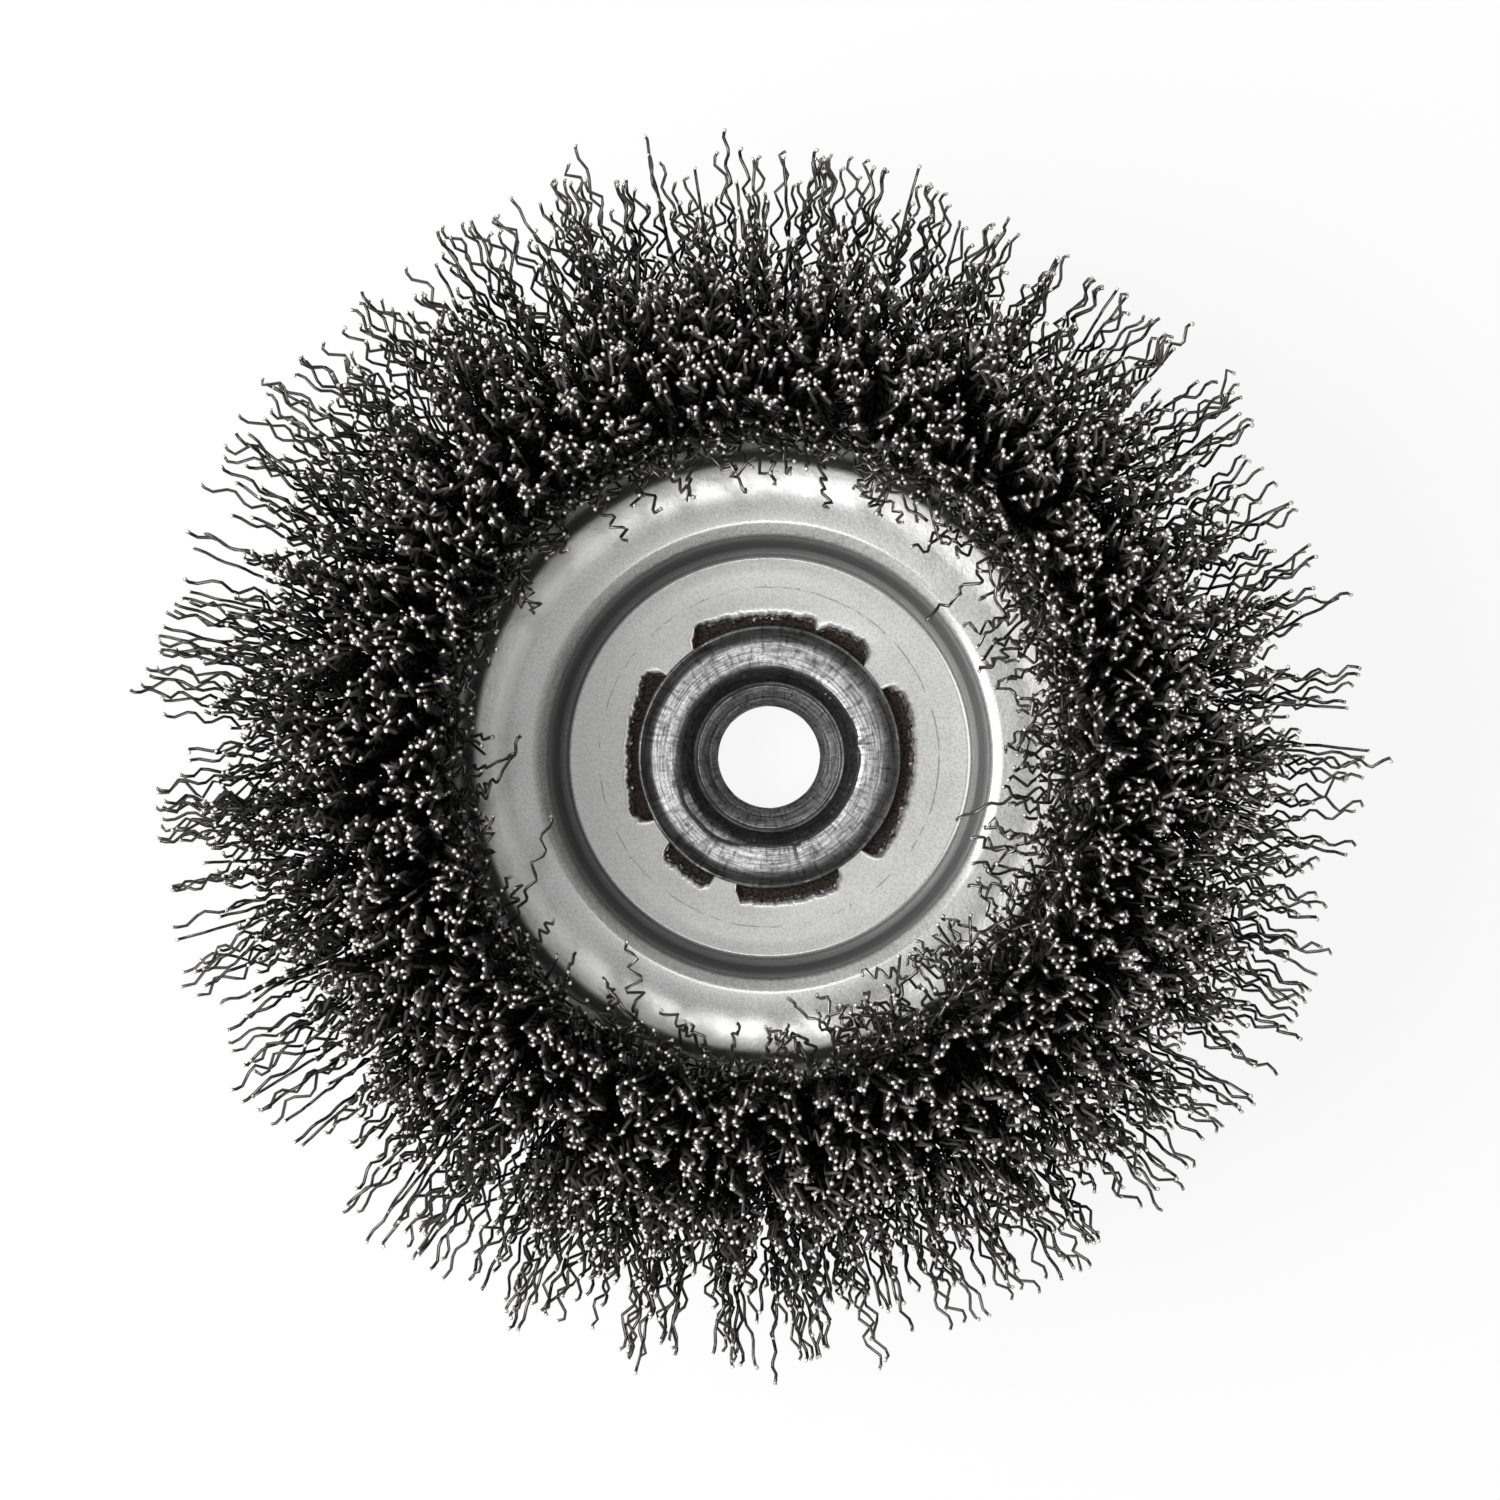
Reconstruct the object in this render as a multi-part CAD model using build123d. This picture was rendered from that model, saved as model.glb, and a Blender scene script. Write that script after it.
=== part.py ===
from build123d import *
from math import cos, degrees, radians, sin, sqrt
from random import Random
import os

# Crimped wire cup brush. Millimetres, +Z from the hub's seat face towards the wire tips.
# The origin is on the bore's axis, in the hub's seat face, where the spindle's shoulder bears.

# Hub: turned from hexagon bar, tapped, its shank rolled over the inner plate
hex_across_flats = 28.6
hex_height = 14.5
hex_corner_chamfer = 1.4
hex_top_chamfer_height = 0.7
bore_radius = 6.8
bore_entry_chamfer = 1.0
tap_end_below_cup = 0.9
thread_relief_depth = 1.2
pilot_radius = 9.5
pilot_depth = 2.2
shank_step = 0.2
shank_wall = 2.0
roll_overhang = 3.2
roll_inner_bevel = 0.6
roll_crest_width = 2.9
roll_height = 3.0
roll_edge_height = 1.1
roll_side_bend = 6.0

# Outer cup: one stamping from sheet, clamped under the inner plate by the roll
cup_thickness = 1.8
cup_floor_margin = 4.1
cup_widest_rise = 9.3
cup_lean_in = 1.4
cup_depth = 20.7
cup_shoulder_bend = 9.0
cup_side_bend = 5.0

# Inner plate: one stamping, a flat well inside a raised bead, with a lip that grips the wires
plate_thickness = 1.6
well_width = 9.6
inner_wall_lean = 1.9
plate_shoulder_rise = 12.6
inner_bead_width = 4.4
inner_bead_rise = 0.4
outer_bead_width = 4.3
outer_bead_drop = 0.7
outer_wall_lean = 2.2
lip_width = 1.6
plate_lip_rise = 7.9
well_bend = 1.0
shoulder_inside_bend = 0.4
crown_bend = 10.0
lip_bend = 0.8

# Six notches round the plate's hole: middle and width in degrees, and how far each one
# reaches beyond the roll
plate_notches = (
    (98.0, 52.0, 2.1),
    (57.5, 23.0, 1.6),
    (-5.5, 75.0, 1.9),
    (-85.0, 38.0, 2.2),
    (-128.5, 19.0, 1.5),
    (176.0, 57.5, 1.6),
)

# Anchor ring: closed ring of heavy wire that every bristle is folded round, with the folds
# lying between it and the cup
anchor_wire_radius = 1.6
anchor_bed = 0.6
groove_sides = 8

# Bristle wires, gathered into crimped locks that leave the slot between plate and cup
sector_count = 16
lanes_per_sector = 4
slot_width = 6.1
mouth_rise = 0.8
packing_depth_inside_lip = 1.1
free_length = 32.0
length_scatter = 1.5
lean_scatter = 2.0
crimp_half_wave = 5.5
crimp_reach = 1.0
lock_root_width = 2.4
lock_tip_width = 3.6
lock_thickness = 1.5
lock_split = 1.8
lock_grip = 3.0
lock_twist = 8.0

# How far each row of locks leans out from upright, in degrees, from the inside of the slot out
row_leans = (-4.2, 3.8, 12.0, 20.4, 29.4, 38.1)

# Long stray wires that stand out of the ring: direction and lean in degrees
stray_wires = (
    (-0.5, 56.6),
    (45.5, 50.4),
    (66.0, 46.0),
    (94.0, 61.1),
    (108.5, 57.9),
    (143.0, 61.7),
    (174.0, 68.0),
    (-168.0, 52.8),
    (-143.0, 50.4),
    (-102.0, 61.7),
    (-89.5, 59.3),
    (-58.0, 49.3),
    (-28.0, 49.3),
)
stray_width = 0.8
stray_thickness = 0.8
stray_free_length = 39.0

# Fits
hole_clearance = 0.15
packing_clearance = 0.15
sector_gap = 0.2
lock_edge_clearance = 0.3

# Heights that follow from the stack of nut, cup and plate
cup_seat = hex_height
plate_seat = cup_seat + cup_thickness
roll_seat = plate_seat + plate_thickness
roll_top = roll_seat + roll_height
cup_rim_height = cup_seat + cup_depth
mouth_height = cup_rim_height + mouth_rise
plate_lip_height = roll_seat + plate_lip_rise
crown_height = roll_seat + plate_shoulder_rise + inner_bead_rise

# Radii, each taken from the one inside it: nut, plate, slot for the wires, cup
shank_radius = hex_across_flats / 2 - shank_step
roll_radius = shank_radius + roll_overhang
plate_well_radius = roll_radius + well_width
plate_shoulder_radius = plate_well_radius + inner_wall_lean
plate_crown_radius = plate_shoulder_radius + inner_bead_width
plate_outer_shoulder_radius = plate_crown_radius + outer_bead_width
plate_foot_radius = plate_outer_shoulder_radius + outer_wall_lean
plate_lip_radius = plate_foot_radius + lip_width
cup_rim_radius = plate_lip_radius + slot_width + cup_thickness
cup_widest_radius = cup_rim_radius + cup_lean_in
cup_floor_radius = plate_well_radius + cup_floor_margin
slot_inner_radius = plate_lip_radius + packing_clearance
slot_outer_radius = cup_rim_radius - cup_thickness - packing_clearance
sector_angle = 360 / sector_count

# The anchor ring lies on the folded wires, which lie on the cup's sloping wall
anchor_radius = (slot_inner_radius + slot_outer_radius) / 2
cup_slope = cup_widest_rise / (cup_widest_radius - cup_floor_radius)
rise_per_thickness = sqrt(1 + cup_slope**2)
anchor_height = (
    cup_seat
    + (anchor_radius - cup_floor_radius) * cup_slope
    + (cup_thickness + anchor_bed + anchor_wire_radius) * rise_per_thickness
)

cup_outline = (
    (shank_radius + hole_clearance, cup_seat),
    (cup_floor_radius, cup_seat),
    (cup_widest_radius, cup_seat + cup_widest_rise),
    (cup_rim_radius, cup_rim_height),
)
cup_bends = (cup_shoulder_bend, cup_side_bend)

plate_outline = (
    (shank_radius + hole_clearance, roll_seat),
    (plate_well_radius, roll_seat),
    (plate_shoulder_radius, roll_seat + plate_shoulder_rise),
    (plate_crown_radius, crown_height),
    (plate_outer_shoulder_radius, crown_height - outer_bead_drop),
    (plate_foot_radius, plate_lip_height),
    (plate_lip_radius, plate_lip_height),
)
shoulder_bend = plate_thickness + shoulder_inside_bend
plate_bends = (well_bend, shoulder_bend, crown_bend, shoulder_bend, lip_bend)


def half_section(*lines):
    """A face in the plane of the axis, from lines given as radius and height."""
    return make_face([Plane.XZ * line for line in lines])


def bent_line(outline, bends):
    """A half section of one face of a stamping: straight runs with an arc at each bend."""
    return Plane.XZ * FilletPolyline(*outline, radius=bends)


def spun_sheet(outline, bends, thickness, side):
    """A stamping of even thickness, from the half section of one of its faces."""
    strip = offset(bent_line(outline, bends), amount=thickness, side=side, closed=True)
    return revolve(make_face(strip), axis=Axis.Z)


def make_hub_nut():
    """The hexagon, the shank and the roll are one turned piece, bored and tapped through."""
    corner_radius = hex_across_flats / sqrt(3)
    blank = extrude(RegularPolygon(corner_radius, 6), amount=hex_height)
    chamfer_cone = half_section(
        Polyline(
            (0, 0),
            (corner_radius - hex_corner_chamfer, 0),
            (corner_radius, hex_corner_chamfer),
            (corner_radius, hex_height - hex_top_chamfer_height),
            (corner_radius - hex_corner_chamfer, hex_height),
            (0, hex_height),
            close=True,
        )
    )
    hexagon = blank & revolve(chamfer_cone, axis=Axis.Z)
    crest_start = shank_radius - shank_wall + roll_inner_bevel
    crest_end = crest_start + roll_crest_width
    shank_root = hex_height / 2
    upper = half_section(
        Polyline(
            (crest_end, roll_top),
            (crest_start, roll_top),
            (shank_radius - shank_wall, roll_top - roll_edge_height),
            (0, roll_top - roll_edge_height),
            (0, shank_root),
            (shank_radius, shank_root),
            (shank_radius, roll_seat),
            (roll_radius, roll_seat),
            (roll_radius, roll_seat + roll_edge_height),
        ),
        RadiusArc(
            (roll_radius, roll_seat + roll_edge_height),
            (crest_end, roll_top),
            -roll_side_bend,
        ),
    )
    bore_top = roll_top - roll_edge_height
    tapped_depth = cup_seat - tap_end_below_cup
    thread_relief_radius = bore_radius + thread_relief_depth
    pilot_start = tapped_depth + thread_relief_depth
    pilot_end = pilot_start + pilot_depth
    bore = half_section(
        Polyline(
            (0, 0),
            (bore_radius + bore_entry_chamfer, 0),
            (bore_radius, bore_entry_chamfer),
            (bore_radius, tapped_depth),
            (thread_relief_radius, pilot_start),
            (pilot_radius, pilot_start),
            (pilot_radius, pilot_end),
            (shank_radius - shank_wall, bore_top),
            (shank_radius - shank_wall, roll_top),
            (0, roll_top),
            close=True,
        )
    )
    hub = hexagon + revolve(upper, axis=Axis.Z)
    return hub - revolve(bore, axis=Axis.Z)


def make_outer_cup():
    """The cup's floor is clamped on the hexagon; its rim leans in to grip the wires."""
    return spun_sheet(cup_outline, cup_bends, cup_thickness, Side.RIGHT)


def make_retaining_plate():
    """The outline is the face that shows; the sheet's thickness goes down from it."""
    plate = spun_sheet(plate_outline, plate_bends, plate_thickness, Side.LEFT)
    for middle, width, beyond_roll in plate_notches:
        reach = roll_radius + beyond_roll
        half = Plane.XZ * Pos(reach / 2, roll_seat - plate_thickness / 2) * Rectangle(
            reach, 2 * plate_thickness
        )
        notch = revolve(half, axis=Axis.Z, revolution_arc=width)
        plate -= Rot(0, 0, middle - width / 2) * notch
    return plate


def make_anchor_ring():
    return Pos(0, 0, anchor_height) * Torus(anchor_radius, anchor_wire_radius)


def make_packing():
    """One sector of the folded wires, packed solid between plate, cup and anchor ring."""
    face_line = offset(
        bent_line(cup_outline, cup_bends),
        amount=cup_thickness + packing_clearance,
        side=Side.RIGHT,
        closed=False,
    )
    corners = sorted((v.Z, v.X) for v in face_line.vertices())
    rim_height, rim_radius = corners[-1]
    inside_cup = half_section(
        Polyline(
            (0, corners[0][0]),
            *((radius, height) for height, radius in corners),
            (rim_radius, rim_height + mouth_rise),
            (0, rim_height + mouth_rise),
            close=True,
        )
    )
    under_lip = plate_lip_height - plate_thickness - packing_clearance
    inner_radius = slot_inner_radius - packing_depth_inside_lip
    slot = half_section(
        Polyline(
            (inner_radius, cup_seat),
            (cup_widest_radius, cup_seat),
            (cup_widest_radius, mouth_height),
            (slot_inner_radius, mouth_height),
            (slot_inner_radius, under_lip),
            (inner_radius, under_lip),
            close=True,
        )
    )
    groove_size = anchor_wire_radius + packing_clearance
    groove = (
        Plane.XZ
        * Pos(anchor_radius, anchor_height)
        * RegularPolygon(groove_size, groove_sides, major_radius=False)
    )
    section = (inside_cup & slot) - groove
    gap_angle = degrees(sector_gap / slot_outer_radius)
    packing = revolve(section, axis=Axis.Z, revolution_arc=sector_angle - gap_angle)
    return Rot(0, 0, (gap_angle - sector_angle) / 2) * packing


def polar(radius, angle, height):
    """The point at a radius, a direction in degrees and a height."""
    return Vector(radius, 0, height).rotate(Axis.Z, angle)


def leaning_tip(root_radius, angle, lean, length):
    """Where a lock ends that leans out by some degrees from the mouth of the slot."""
    reach = length * sin(radians(lean))
    rise = length * cos(radians(lean))
    return polar(root_radius + reach, angle, mouth_height + rise)


def crimped_lock(root, tip, twist, root_width, tip_width, thickness, split):
    """A zigzag lock of wires from its root in the mouth of the slot out to its tip."""
    free = tip - root
    along = free.normalized()
    broad_side = Vector(-root.Y, root.X, 0).cross(along).rotate(Axis((0, 0, 0), along), twist)
    plane = Plane(origin=root - along * lock_grip, x_dir=along, z_dir=broad_side)
    whole = free.length + lock_grip
    bends = round(whole / crimp_half_wave)
    left, right = [], []
    for step in range(bends + 1):
        share = step / bends
        swing = crimp_reach if step % 2 else -crimp_reach
        half_width = (root_width + (tip_width - root_width) * share) / 2
        left.append((whole * share, swing + half_width))
        right.append((whole * share, swing - half_width))
    last_swing = swing * (1 - 2 * split * bends / whole)
    notch = [(whole - split, last_swing)] if split else []
    face = make_face(Polyline(*left, *notch, *reversed(right), close=True))
    return extrude(plane * face, amount=thickness / 2, both=True)


def row_locks(chance):
    """The locks of one sector. Neighbouring lanes take turns at the odd and even rows."""
    row_pitch = (slot_outer_radius - slot_inner_radius) / len(row_leans)
    room = degrees(
        (lock_root_width / 2 + crimp_reach + lock_edge_clearance) / slot_inner_radius
    )
    locks = []
    for lane in range(lanes_per_sector):
        share = (lane + 0.5) / lanes_per_sector - 0.5
        root_angle = (sector_angle - 2 * room) * share * lanes_per_sector / (
            lanes_per_sector - 1
        )
        for row in range(lane % 2, len(row_leans), 2):
            if row == 0 and lane > 0:
                continue
            length = free_length + chance.uniform(-length_scatter, length_scatter)
            lean = row_leans[row] + chance.uniform(-lean_scatter, lean_scatter)
            root_radius = slot_inner_radius + row_pitch * (row + 0.5)
            locks.append(
                crimped_lock(
                    polar(root_radius, root_angle, mouth_height),
                    leaning_tip(root_radius, sector_angle * share, lean, length),
                    chance.uniform(-lock_twist, lock_twist),
                    lock_root_width,
                    lock_tip_width,
                    lock_thickness,
                    lock_split,
                )
            )
    return locks


def stray_locks(middle):
    """The long strays whose roots lie in the sector round the given direction."""
    root_radius = slot_outer_radius - stray_width
    room = degrees((stray_width / 2 + crimp_reach + lock_edge_clearance) / root_radius)
    strays = []
    for direction, lean in stray_wires:
        angle = (direction - middle + 180) % 360 - 180
        if -sector_angle / 2 <= angle < sector_angle / 2:
            root_angle = max(room - sector_angle / 2, min(sector_angle / 2 - room, angle))
            strays.append(
                crimped_lock(
                    polar(root_radius, root_angle, mouth_height),
                    leaning_tip(root_radius, root_angle, lean, stray_free_length),
                    0,
                    stray_width,
                    stray_width,
                    stray_thickness,
                    0,
                )
            )
    return strays


def make_wires(sector, packing):
    """One sector of the wire ring, with its packed root and its free locks."""
    chance = Random(sector)
    middle = sector * sector_angle
    return Rot(0, 0, middle) * (packing + row_locks(chance) + stray_locks(middle))


os.makedirs("parts", exist_ok=True)
export_step(make_hub_nut(), "parts/hub_nut.step")
export_step(make_outer_cup(), "parts/outer_cup.step")
export_step(make_retaining_plate(), "parts/retaining_plate.step")
export_step(make_anchor_ring(), "parts/anchor_ring.step")
packed_sector = make_packing()
for sector in range(sector_count):
    export_step(make_wires(sector, packed_sector), f"parts/wires_{sector + 1:02d}.step")
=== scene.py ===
import math

import bpy
import numpy as np
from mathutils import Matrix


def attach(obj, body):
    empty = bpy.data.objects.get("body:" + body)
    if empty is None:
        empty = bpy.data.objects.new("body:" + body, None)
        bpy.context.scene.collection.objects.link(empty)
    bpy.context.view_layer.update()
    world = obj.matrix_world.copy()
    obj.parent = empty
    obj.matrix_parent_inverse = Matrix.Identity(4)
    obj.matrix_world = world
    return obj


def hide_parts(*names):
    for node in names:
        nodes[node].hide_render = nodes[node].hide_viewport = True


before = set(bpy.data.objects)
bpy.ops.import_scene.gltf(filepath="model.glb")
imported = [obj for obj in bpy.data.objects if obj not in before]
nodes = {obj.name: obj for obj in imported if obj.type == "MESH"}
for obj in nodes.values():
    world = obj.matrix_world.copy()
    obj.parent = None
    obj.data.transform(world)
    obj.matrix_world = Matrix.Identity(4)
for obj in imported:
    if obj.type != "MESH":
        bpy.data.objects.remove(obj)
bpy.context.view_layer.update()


# Hub nut: turned from steel hexagon bar, bored and tapped right through. Its thin shank goes
# through the cup and the plate and is rolled over the plate, which leaves a bright ring with
# chatter marks, a few nicks, and a dull grey seam on the inside.

def add_mesh(name, points_mm, *face_groups):
    """A shaded mesh object from points in millimetres and arrays of triangles or quads."""
    mesh = bpy.data.meshes.new(name)
    corners = np.concatenate([faces.ravel() for faces in face_groups]).astype(np.int32)
    sizes = np.concatenate([np.full(len(faces), faces.shape[1]) for faces in face_groups])
    mesh.vertices.add(len(points_mm))
    mesh.vertices.foreach_set("co", (np.asarray(points_mm, float) * 0.001).ravel())
    mesh.loops.add(len(corners))
    mesh.loops.foreach_set("vertex_index", corners)
    mesh.polygons.add(len(sizes))
    mesh.polygons.foreach_set("loop_start", (np.cumsum(sizes) - sizes).astype(np.int32))
    mesh.update(calc_edges=True)
    mesh.shade_smooth()
    piece = bpy.data.objects.new(name, mesh)
    bpy.context.scene.collection.objects.link(piece)
    return piece


def lathe_faces(rows, columns):
    """Quads that close a stack of rings round the axis and also join the last ring to the first."""
    ring = np.arange(rows)[:, None] * columns
    next_ring = (np.arange(rows)[:, None] + 1) % rows * columns
    here = np.arange(columns)[None, :]
    beside = (here + 1) % columns
    quads = np.stack([ring + here, ring + beside, next_ring + beside, next_ring + here], axis=-1)
    return quads.reshape(-1, 4)


def lathe_points(rings, angles):
    """Points of a stack of rings, each a radius and a height that may vary round the axis."""
    radii = np.array([np.broadcast_to(radius, angles.shape) for radius, _ in rings], float)
    heights = np.array([np.broadcast_to(height, angles.shape) for _, height in rings], float)
    return np.stack([radii * np.cos(angles), radii * np.sin(angles), heights], axis=-1).reshape(-1, 3)


def signed_turn(direction, start=0):
    """The turn from a start to a direction, between -180 and 180 degrees."""
    return (direction - start + 180) % 360 - 180


def bumps_round(angles, spots):
    """A sum of rounded bumps round the axis, each given as degrees, half width and height."""
    total = np.zeros_like(angles)
    for at, half_width, height in spots:
        total += height * np.exp(-((signed_turn(np.degrees(angles), at) / half_width) ** 2))
    return total


def wobble(angles, seed, waves, size):
    """A smooth random wander round the axis with the given numbers of waves."""
    chance = np.random.default_rng(seed)
    total = np.zeros_like(angles)
    for count in waves:
        total += chance.normal() * np.cos(count * angles + chance.uniform(0, 2 * math.pi))
    return total * size / math.sqrt(len(waves))


columns = 360
angles = np.linspace(0, 2 * math.pi, columns, endpoint=False)

# The hexagon with its chamfered corners, as radius and height where the corners are cut
across_flats = 28.6
hexagon = across_flats / 2 / np.cos((angles % (math.pi / 3)) - math.pi / 6)
hex_cuts = (
    (15.11, 0), (15.55, 0.44), (16.05, 0.94), (16.6, 1.45), (16.6, 13.75), (16.1, 13.8),
    (15.5, 14.1), (15.1, 14.48),
)
hub_rings = [(np.minimum(hexagon, radius), height) for radius, height in hex_cuts]
# The shank
hub_rings += [(14.3, 14.5), (14.12, 14.5), (14.1, 15.0), (14.1, 17.6), (14.15, 17.92)]

# The roll: radius, height, how far a row follows the uneven inner edge, how far it is marked
roll_rows = (
    (17.25, 17.93, 0, 0), (17.28, 18.10, 0, 0), (17.15, 18.22, 0, 0), (16.95, 18.26, 0, 0.05),
    (16.62, 18.60, 0, 0), (16.30, 19.30, 0, 0), (16.00, 19.95, 0, 0), (15.72, 20.35, 0, 0.05),
    (15.35, 20.60, 0, 0.1), (14.80, 20.71, 0, 0.2), (14.10, 20.75, 0.15, 0.35),
    (13.35, 20.79, 0.35, 0.6), (12.80, 20.80, 0.6, 0.9), (12.35, 20.78, 0.8, 1),
    (11.98, 20.62, 0.95, 1), (11.80, 20.35, 1, 0.9), (11.72, 19.95, 1, 0.5), (11.68, 19.55, 1, 0.2),
)
roll_inside = 11.75
uneven_edge = wobble(angles, 4, (2, 3, 5, 8, 17), 0.06)
nicks_and_bays = ((215, 26, 0.75), (-118, 12, 0.35), (8, 3, -0.3), (-73, 3, 0.25), (60, 30, -0.1))
inner_edge = roll_inside + uneven_edge + bumps_round(angles, nicks_and_bays)
chatter = wobble(angles, 9, (61, 74, 88, 97, 113, 131), 0.012) + wobble(angles, 19, (5, 9, 14), 0.02)
crest_dents = ((-118, 5, 0.3), (9, 1.2, 0.2), (-73, 1.2, 0.2), (120, 2, 0.1), (-150, 3, 0.1))
crest_marks = chatter - bumps_round(angles, crest_dents)
hub_rings += [
    (radius + follow * (inner_edge - roll_inside), height + marked * crest_marks)
    for radius, height, follow, marked in roll_rows
]

# The seam and the counterbore inside the roll: radius, height and roughness
seam_rows = (
    (11.5, 19.3, 0.05), (11.25, 19.0, 0.08), (11.0, 18.75, 0.06), (10.8, 18.5, 0.02), (10.75, 18.2, 0),
    (10.2, 17.7, 0), (9.9, 17.35, 0), (9.66, 17.3, 0), (9.55, 17.0, 0), (9.5, 16.6, 0), (9.5, 15.0, 0),
    (9.4, 14.82, 0), (8.1, 14.8, 0), (7.95, 14.72, 0),
)
for radius, height, rough in seam_rows:
    ripple = wobble(angles, int(radius * 10), (5, 9, 17, 33, 60), rough)
    rise = wobble(angles, int(radius * 7), (7, 12, 23, 41, 80), rough)
    hub_rings.append((radius + ripple, height + rise))

# The tapped bore, from the mouth of the thread down to the seat face
bore = 6.8
thread_top = 13.6
thread_pitch = 2.309
thread_depth = 1.14
hub_rings += [(bore + 1.15 * share, thread_top + 1.12 * share) for share in (0.75, 0.5, 0.25)]
thread_rows = np.arange(1.0, thread_top, thread_pitch / 8)
for height in thread_rows[::-1]:
    turn = (height / thread_pitch + angles / (2 * math.pi)) % 1
    groove = np.clip(1.3 - np.abs(turn - 0.5) * 2.9, 0, 1)
    run_out = np.clip((13.4 - height) / 1.2, 0, 1) * np.clip((height - 0.6) / 0.6, 0, 1)
    hub_rings.append((bore + thread_depth * groove * run_out, height))
hub_rings += [(7.3, 0.5), (7.8, 0.02), (8.0, 0)]

hub = add_mesh(
    "turned_hub_nut", lathe_points(hub_rings, angles), lathe_faces(len(hub_rings), columns)[:, ::-1]
)
hub.data.set_sharp_from_angle(angle=math.radians(32))


def add_node(tree, kind, links=None, **settings):
    """A node with its settings, its values and its links in one go."""
    node = tree.nodes.new(kind)
    for name, value in settings.items():
        setattr(node, name, value)
    for name, value in (links or {}).items():
        if isinstance(value, bpy.types.NodeSocket):
            tree.links.new(value, node.inputs[name])
        else:
            node.inputs[name].default_value = value
    return node


def worked_out(tree, operation, first, second=None):
    """The result of a sum on numbers or sockets."""
    terms = {0: first} if second is None else {0: first, 1: second}
    return add_node(tree, "ShaderNodeMath", terms, operation=operation).outputs[0]


def scaled_to(tree, value, low, high, start=0.0, end=1.0):
    """A value moved from one range to another."""
    terms = {"Value": value, "From Min": start, "From Max": end, "To Min": low, "To Max": high}
    return add_node(tree, "ShaderNodeMapRange", terms).outputs[0]


def ramp(tree, value, stops):
    """A colour ramp from stops given as a place and a grey or a colour."""
    node = add_node(tree, "ShaderNodeValToRGB", {"Fac": value})
    elements = node.color_ramp.elements
    while len(elements) < len(stops):
        elements.new(0.5)
    for element, (at, tone) in zip(elements, stops):
        element.position = at
        element.color = (*tone, 1) if isinstance(tone, tuple) else (tone, tone, tone, 1)
    return node.outputs["Color"]


def blended(tree, kind, share, first, second):
    """Two colours mixed, multiplied or added by a share."""
    node = add_node(tree, "ShaderNodeMix", data_type="RGBA", blend_type=kind)
    for index, value in ((0, share), (6, first), (7, second)):
        if isinstance(value, bpy.types.NodeSocket):
            tree.links.new(value, node.inputs[index])
        else:
            node.inputs[index].default_value = (*value, 1) if isinstance(value, tuple) else value
    return node.outputs[2]


def shaded_by(tree, tone, *masks):
    """A colour multiplied by each mask in turn."""
    for mask in masks:
        tone = blended(tree, "MULTIPLY", 1.0, tone, mask)
    return tone


def new_finish(name, **shader_values):
    """A material with one shader, whose even values are set on the shader itself."""
    finish = bpy.data.materials.new(name)
    finish.use_nodes = True
    tree = finish.node_tree
    shader = tree.nodes["Principled BSDF"]
    for socket, value in shader_values.items():
        shader.inputs[socket.replace("_", " ")].default_value = value
    return finish, tree, shader


def feed(tree, shader, **sources):
    """Links sockets to the shader's inputs."""
    for socket, source in sources.items():
        tree.links.new(source, shader.inputs[socket.replace("_", " ")])


def raised_by(tree, height, strength, distance):
    """The surface's normal, bent by a small relief."""
    terms = {"Height": height, "Strength": strength, "Distance": distance}
    return add_node(tree, "ShaderNodeBump", terms).outputs["Normal"]


def new_effect(name, inputs, outputs):
    """An empty node group with named sockets, for an effect that several finishes share."""
    group = bpy.data.node_groups.new(name, "ShaderNodeTree")
    for socket, kind, value in inputs:
        made = group.interface.new_socket(socket, in_out="INPUT", socket_type=kind)
        made.default_value = value
    for socket, kind in outputs:
        group.interface.new_socket(socket, in_out="OUTPUT", socket_type=kind)
    return group, group.nodes.new("NodeGroupInput"), group.nodes.new("NodeGroupOutput")


def use_effect(tree, group, **values):
    """Places a shared effect in a finish with its own values."""
    node = tree.nodes.new("ShaderNodeGroup")
    node.node_tree = group
    for name, value in values.items():
        socket = node.inputs[name.replace("_", " ")]
        if isinstance(value, bpy.types.NodeSocket):
            tree.links.new(value, socket)
        else:
            socket.default_value = value
    return node


# Shared effect: place round the axis, as radius, direction and height in millimetres and radians
around_axis, _, out = new_effect(
    "around_axis",
    [],
    [
        ("Radius", "NodeSocketFloat"), ("Direction", "NodeSocketFloat"), ("Height", "NodeSocketFloat"),
        ("Millimetres", "NodeSocketVector"),
    ],
)
on_object = add_node(around_axis, "ShaderNodeTexCoord").outputs["Object"]
terms = {0: on_object, "Scale": 1000.0}
millimetres = add_node(around_axis, "ShaderNodeVectorMath", terms, operation="SCALE")
parts = add_node(around_axis, "ShaderNodeSeparateXYZ", {0: millimetres.outputs["Vector"]}).outputs
flat = add_node(around_axis, "ShaderNodeCombineXYZ", {"X": parts["X"], "Y": parts["Y"]})
reach = add_node(around_axis, "ShaderNodeVectorMath", {0: flat.outputs["Vector"]}, operation="LENGTH")
bearing = worked_out(around_axis, "ARCTAN2", parts["Y"], parts["X"])
around_axis.links.new(reach.outputs["Value"], out.inputs["Radius"])
around_axis.links.new(bearing, out.inputs["Direction"])
around_axis.links.new(parts["Z"], out.inputs["Height"])
around_axis.links.new(millimetres.outputs["Vector"], out.inputs["Millimetres"])

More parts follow.
